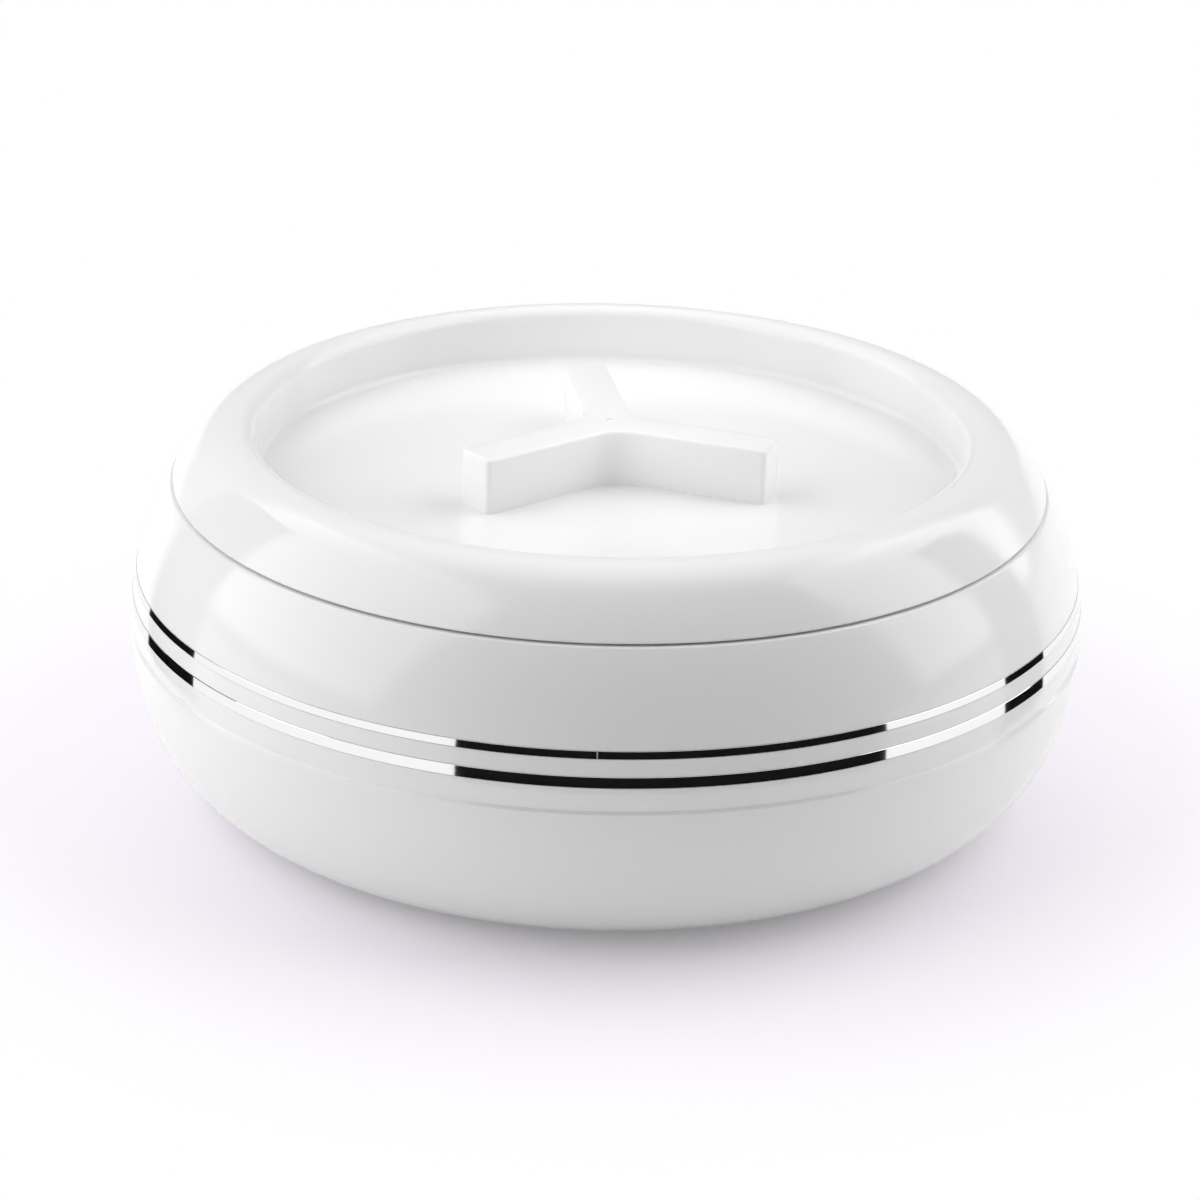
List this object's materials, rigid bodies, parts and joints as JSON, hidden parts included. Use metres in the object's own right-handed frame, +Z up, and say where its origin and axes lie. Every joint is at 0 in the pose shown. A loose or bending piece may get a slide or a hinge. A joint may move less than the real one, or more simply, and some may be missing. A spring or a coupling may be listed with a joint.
{
  "type": "insulated chapati casserole",
  "caption": "Round flat insulated serving casserole: white rounded outer shell with plated bands, steel inner bowl, and a dished lift-off lid with a three-arm grip.",
  "frame": {"origin": "centre of the underside, on the plane of the foot", "axes": "+Z up along the axis of the round body; -Y is the front, the side that the picture shows; +X is the picture's right"},
  "size_m": [0.256, 0.256, 0.1],
  "materials": {
    "white_shell": "gloss",
    "white_inner_plastic": "satin",
    "plated_band": "polished",
    "bowl_steel": "satin",
    "foam": "matte",
    "seal_silicone": "matte",
    "screw_steel": "satin"
  },
  "bodies": {
    "base": {"lower_shell": "white_shell", "upper_shell": "white_shell", "upper_band": "plated_band", "lower_band": "plated_band", "inner_bowl": "bowl_steel", "neck_ring": "white_inner_plastic", "body_insulation": "foam", "foam_fill_plug": "white_inner_plastic"},
    "seal": {"lid_seal": "seal_silicone"},
    "lid": {"lid_shell": "white_shell", "lid_liner": "white_inner_plastic", "lid_insulation": "foam", "lid_handle": "white_shell", "handle_screws": "screw_steel"}
  },
  "joints": [
    {"name": "lid_lift", "type": "slide", "parent": "base", "child": "seal", "axis": [0, 0, 1], "range_m": [0, 0.12]},
    {"name": "lid_twist", "type": "hinge", "parent": "seal", "child": "lid", "pos_m": [0, 0, 0.09], "axis": [0, 0, 1], "range_deg": [-25, 0]}
  ]
}
